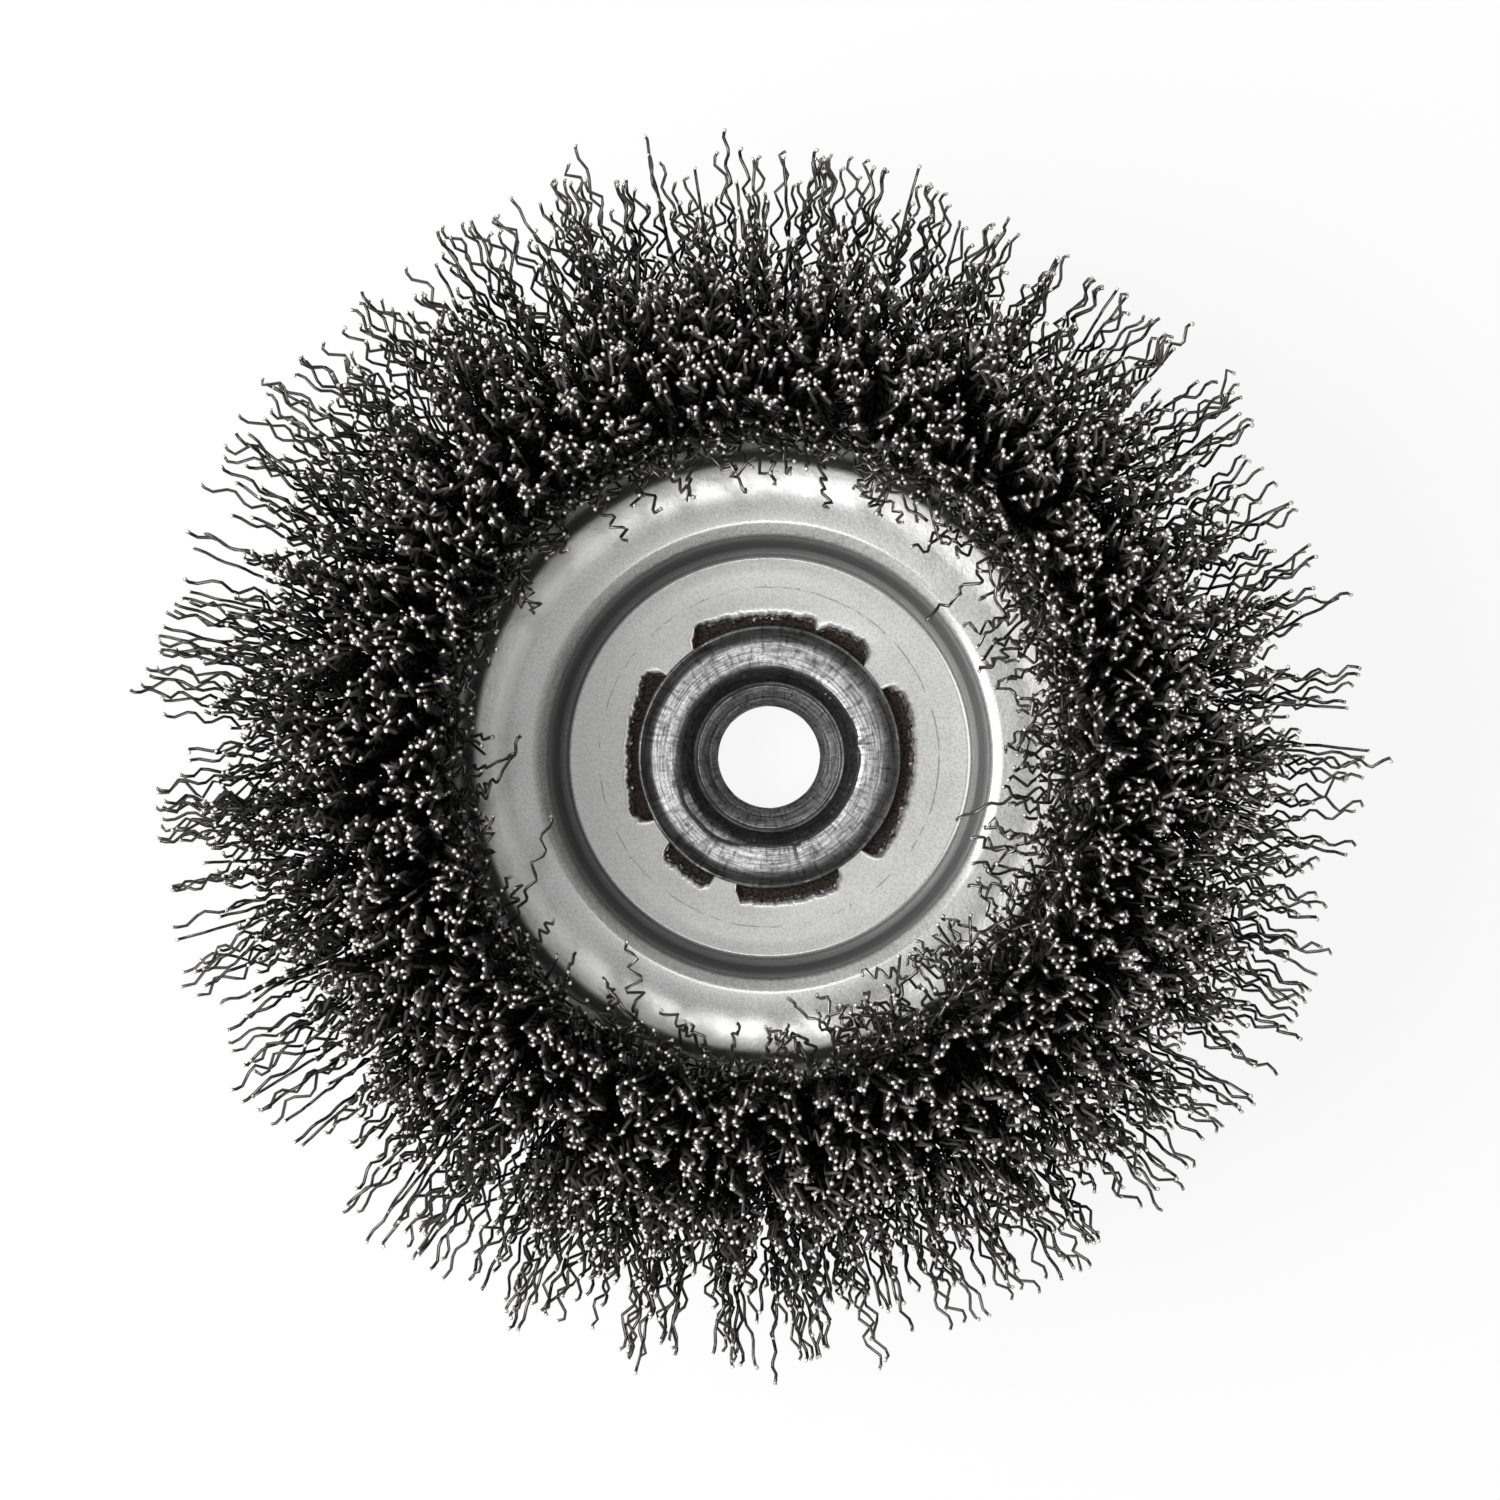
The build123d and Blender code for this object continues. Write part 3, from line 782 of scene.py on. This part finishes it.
def bent_profile(corners, bends, spacing):
    """Points along a line with an arc at each inner corner, as radius and height."""
    corners = [np.array(c, float) for c in corners]
    path = []
    start = corners[0]
    for before, at, after, bend in zip(corners, corners[1:], corners[2:], bends):
        inward = (before - at) / np.linalg.norm(before - at)
        onward = (after - at) / np.linalg.norm(after - at)
        half = math.acos(np.clip(inward @ onward, -1, 1)) / 2
        reach = bend / math.tan(half)
        centre = at + (inward + onward) / np.linalg.norm(inward + onward) * bend / math.sin(half)
        enter, leave = at + inward * reach, at + onward * reach
        run = max(2, int(np.linalg.norm(enter - start) / spacing))
        path += [start + (enter - start) * i / run for i in range(run)]
        first = math.atan2(*(enter - centre)[::-1])
        sweep = (math.atan2(*(leave - centre)[::-1]) - first + math.pi) % (2 * math.pi) - math.pi
        turns = max(3, int(abs(sweep) / math.radians(9)))
        for i in range(turns):
            turn = first + sweep * i / turns
            path.append(centre + bend * np.array([math.cos(turn), math.sin(turn)]))
        start = leave
    run = max(2, int(np.linalg.norm(corners[-1] - start) / spacing))
    path += [start + (corners[-1] - start) * i / run for i in range(run + 1)]
    return np.array(path)


sheet = 1.6
hole_rim, well = 20.4, 17.9
plate_corners = (
    (hole_rim, well), (26.9, well), (28.7, 29.95), (30.0, 30.5), (33.4, 30.85), (38.6, 30.45),
    (39.8, 25.8), (41.3, 25.8),
)
plate_bends = (1.0, 1.0, 5.0, 33.0, 1.2, 0.8)
plate_face = bent_profile(plate_corners, plate_bends, 1.6)
columns = 720
angles = np.linspace(0, 2 * math.pi, columns, endpoint=False)
# Edge of the hole: direction in degrees and radius. Between the notches it stays under the roll.
hole_outline = (
    (-180, 18.7), (-168, 18.95), (-157.5, 19.6), (-153.4, 18.9), (-151.6, 17.6), (-151, 17.0),
    (-139.6, 17.0), (-138.9, 18.0), (-136, 19.2), (-126, 19.0), (-117.2, 19.25), (-115, 18.3),
    (-114.4, 17.0), (-104.6, 17.0), (-104, 18.1), (-101, 19.3), (-90, 19.2), (-75, 19.2),
    (-63, 19.5), (-58.8, 18.0), (-58, 17.0), (-45.6, 17.0), (-44.8, 18.0), (-41.8, 19.8),
    (-30, 19.5), (-22, 19.15), (7.6, 19.2), (20, 19.85), (24.5, 19.65), (30, 18.7), (30.8, 17.8),
    (31.3, 17.0), (43.2, 17.0), (43.9, 17.6), (46.3, 19.2), (51.2, 19.75), (58, 19.4), (65.9, 18.9),
    (69.2, 17.9), (69.9, 17.9), (71.5, 19.15), (80, 18.85), (96, 18.75), (109, 19.1), (118.8, 19.8),
    (124.6, 17.9), (125.4, 17.0), (141.2, 17.0), (141.9, 17.8), (145, 19.4), (147.8, 19.85),
    (154, 19.05), (163, 18.9), (180, 18.7),
)
hole = by_direction(hole_outline, np.degrees(angles))
notched = np.clip((hole - 17.2) / 0.8, 0, 1)
torn_edge = wobble(angles, 21, (90, 130, 170, 220), 0.09) + wobble(angles, 22, (31, 43, 57), 0.07)
hole = hole + notched * torn_edge
burr = notched * (0.05 + np.abs(wobble(angles, 23, (51, 97, 150, 230), 0.12)))
plate_rings = []
# The torn face slopes in under the edge, in lumps: how far in, how far down and how rough
torn_rows = ((0.5, 1.6, 0.0), (0.62, 1.3, 0.18), (0.5, 0.95, 0.2), (0.34, 0.6, 0.17), (0.18, 0.3, 0.1))
for inward, drop, rough in torn_rows:
    lumps = wobble(angles, int(drop * 40), (37, 61, 89, 140), rough)
    ragged = wobble(angles, int(drop * 50), (45, 77, 120), rough)
    plate_rings.append((hole - notched * (inward + lumps), well - drop + notched * ragged))
# The burr on the edge, and the flat from there to the rim of the even sheet
for share, lift in ((0.0, 0.7), (0.03, 1.0), (0.09, 0.6), (0.2, 0.15), (0.45, 0.0), (0.7, 0.0)):
    plate_rings.append((hole + (hole_rim - hole) * share, well + burr * lift))
dish = wobble(angles, 31, (1, 2, 3), 0.03)
for radius, height in plate_face:
    on_well = math.exp(-(((radius - 23) / 4) ** 2))
    uneven = wobble(angles, int(radius * 3), (2, 3, 5), 0.02)
    plate_rings.append((radius + uneven, height + dish * on_well))
slope = np.gradient(plate_face, axis=0)
slope /= np.linalg.norm(slope, axis=1, keepdims=True)
underside = plate_face + np.stack([slope[:, 1], -slope[:, 0]], axis=1) * sheet
plate_rings += list(underside[::-2])
plate = add_mesh(
    "stamped_inner_plate", lathe_points(plate_rings, angles), lathe_faces(len(plate_rings), columns)
)
plate.data.set_sharp_from_angle(angle=math.radians(40))

plate_finish, tree, shader = new_finish(
    "zinc_coated_plate_sheet", Metallic=0.15, Coat_Roughness=0.2, Coat_IOR=1.8
)
spot = use_effect(tree, around_axis).outputs
grain = grained(tree, spot, 3.2, 0.15)
streaks = use_effect(tree, turning_streaks, Streaks_per_mm=2.0, Marks_round=9.0).outputs["Streaks"]
reach = worked_out(tree, "DIVIDE", spot["Radius"], 50.0)
zinc = ramp(tree, grain["Clouds"], [(0.3, (0.34, 0.338, 0.333)), (0.7, (0.42, 0.42, 0.415))])
# Painted shade: a dark line in the crease at the foot of the wall, a dark wall, and darker sheet behind
# the lip
painted_shade_stops = [
    (0.0, 1.0), (0.521, 1.0), (0.526, 0.3), (0.533, 0.3), (0.538, 1.0), (0.544, 1.0), (0.549, 0.07),
    (0.56, 0.08), (0.572, 0.25), (0.58, 1.0), (0.765, 1.0), (0.79, 0.7),
]
tone = shaded_by(
    tree, zinc, ramp(tree, grain["Grain"], [(0.35, 0.62), (0.6, 1.0)]), ramp(tree, reach, painted_shade_stops)
)
# Painted highlight: a near-white band round the outside of the bead
painted_light = ramp(tree, reach, [(0.68, 0.0), (0.715, 1.0), (0.76, 1.0), (0.77, 0.0)])
tone = blended(tree, "MIX", painted_light, tone, (0.95, 0.945, 0.93))
glossy = ramp(tree, reach, [(0.544, 1.0), (0.549, 0.1), (0.565, 0.1), (0.578, 1.0)])
# A scribed circle, broken where the sheet was worn
terms = {"Vector": spot["Millimetres"], "Scale": 0.12, "Detail": 6.0, "Roughness": 0.6}
wander = add_node(tree, "ShaderNodeTexNoise", terms).outputs["Fac"]
circle = worked_out(tree, "SUBTRACT", spot["Radius"], 22.35)
circle = worked_out(tree, "ADD", circle, scaled_to(tree, wander, -0.25, 0.25))
circle = worked_out(tree, "ABSOLUTE", circle)
scratch = shaded_by(
    tree,
    ramp(tree, circle, [(0.05, 1.0), (0.12, 0.0)]),
    ramp(tree, streaks, [(0.47, 0.0), (0.52, 1.0)]),
    ramp(tree, grain["Grain"], [(0.4, 0.15), (0.5, 1.0)]),
)
# Small pits strewn along the circle
cells = add_node(tree, "ShaderNodeTexVoronoi", {"Vector": spot["Millimetres"], "Scale": 0.75})
pits = shaded_by(
    tree,
    ramp(tree, circle, [(0.15, 1.0), (0.45, 0.0)]),
    ramp(tree, cells.outputs["Distance"], [(0.09, 1.0), (0.14, 0.0)]),
)
scratch = blended(tree, "LIGHTEN", 1.0, scratch, pits)
tone = blended(tree, "MIX", scratch, tone, (0.05, 0.048, 0.045))
# Torn steel in the notches, stained brown, with painted shade making much of it near black
below_edge = scaled_to(tree, spot["Height"], 0.0, 1.0, 17.87, 17.78)
torn = worked_out(tree, "MULTIPLY", below_edge, worked_out(tree, "LESS_THAN", spot["Radius"], 21.0))
layers = use_effect(tree, turning_streaks, Streaks_per_mm=3.5, Marks_round=14.0).outputs["Streaks"]
brown_and_shade_stops = [(0.4, (0.006, 0.005, 0.005)), (0.48, (0.05, 0.038, 0.036)), (0.58, (0.3, 0.25, 0.24))]
tone = blended(tree, "MIX", torn, tone, ramp(tree, layers, brown_and_shade_stops))
# An orange-peel surface where the sheet was drawn up into the bead
terms = {"Vector": spot["Millimetres"], "Scale": 1.5, "Detail": 2.0, "Roughness": 0.5}
peel = add_node(tree, "ShaderNodeTexNoise", terms).outputs["Fac"]
peel = worked_out(tree, "MULTIPLY", peel, scaled_to(tree, spot["Height"], 0.25, 2.2, 24.0, 29.0))
relief = worked_out(tree, "ADD", worked_out(tree, "SUBTRACT", grain["Grain"], scratch), peel)
feed(
    tree,
    shader,
    Base_Color=tone,
    Roughness=scaled_to(tree, grain["Clouds"], 0.5, 0.62),
    Coat_Weight=glossy,
    Normal=raised_by(tree, relief, 0.9, 0.0001),
)
plate.data.materials.append(plate_finish)
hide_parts("retaining_plate")
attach(plate, "root")


# Setting: white paper under the brush in a white studio, a large soft lamp high on the left, two
# small ones close to the camera, a dark card on the right, and the camera looking straight down
# the axis.

def add_board(name, corners, finish_name, fibres_per_m, tones):
    """A flat matt board, with its finish and the finish's nodes."""
    board = add_mesh(name, np.array(corners, float), np.array([[0, 1, 2, 3]]))
    finish, tree, shader = new_finish(finish_name, Roughness=0.9)
    on_board = add_node(tree, "ShaderNodeTexCoord").outputs["Object"]
    terms = {"Vector": on_board, "Scale": fibres_per_m, "Detail": 3.0}
    fibre = add_node(tree, "ShaderNodeTexNoise", terms).outputs["Fac"]
    feed(tree, shader, Base_Color=ramp(tree, fibre, tones))
    board.data.materials.append(finish)
    return tree, shader


def seen_directly(tree):
    """1 where the camera sees a thing directly, in a shiny surface or through a clear one."""
    ray = add_node(tree, "ShaderNodeLightPath").outputs
    seen = worked_out(tree, "MAXIMUM", ray["Is Camera Ray"], ray["Is Glossy Ray"])
    return worked_out(tree, "MAXIMUM", seen, ray["Is Transmission Ray"])


paper_corners = ((-1500, -1500, -0.05), (1500, -1500, -0.05), (1500, 1500, -0.05), (-1500, 1500, -0.05))
tree, shader = add_board("paper", paper_corners, "white_paper", 900.0, [(0.3, 0.9), (0.7, 0.94)])
# Nine tenths plain white to the camera; the rest keeps the brush's shadow
lit = add_node(tree, "ShaderNodeEmission", {"Color": (1, 1, 1, 1), "Strength": 1.0})
plain = worked_out(tree, "MULTIPLY", seen_directly(tree), 0.9)
mixed = add_node(tree, "ShaderNodeMixShader", {0: plain, 1: shader.outputs[0], 2: lit.outputs[0]})
tree.links.new(mixed.outputs[0], tree.nodes["Material Output"].inputs["Surface"])

world = bpy.data.worlds.new("white_studio")
world.use_nodes = True
bpy.context.scene.world = world
tree = world.node_tree
background = tree.nodes["Background"]
background.inputs["Color"].default_value = (1, 1, 1, 1)
tree.links.new(scaled_to(tree, seen_directly(tree), 0.12, 1.0), background.inputs["Strength"])


def add_lamp(name, place, size, watts):
    """A square soft lamp that faces the brush."""
    light = bpy.data.lights.new(name, "AREA")
    light.size = size
    light.energy = watts
    lamp = bpy.data.objects.new(name, light)
    bpy.context.scene.collection.objects.link(lamp)
    lamp.location = place
    lamp.rotation_euler = (-lamp.location).to_track_quat("-Z", "Y").to_euler()


add_lamp("left_softbox", (-0.56, -0.03, 0.77), 0.6, 10.0)
add_lamp("far_softbox", (0.01, 0.15, 0.95), 0.12, 1.0)
add_lamp("near_softbox", (0.0, -0.155, 0.95), 0.12, 0.95)

# The dark card keeps light off the right side, so that the bead stays dark on the left
card_corners = ((450, -700, 150), (450, 700, 150), (450, 700, 950), (450, -700, 950))
add_board("dark_card", card_corners, "black_card", 400.0, [(0.3, 0.015), (0.7, 0.025)])

camera_data = bpy.data.cameras.new("camera")
camera_data.sensor_width = 36
camera_data.lens = 160.7
camera_data.shift_x = -0.01267
camera_data.shift_y = 0.00467
camera_data.clip_start = 0.01
camera = bpy.data.objects.new("camera", camera_data)
camera.location = (0, 0, 0.9)
bpy.context.scene.collection.objects.link(camera)
bpy.context.scene.camera = camera
bpy.context.scene.view_settings.view_transform = "Standard"

bpy.context.view_layer.update()
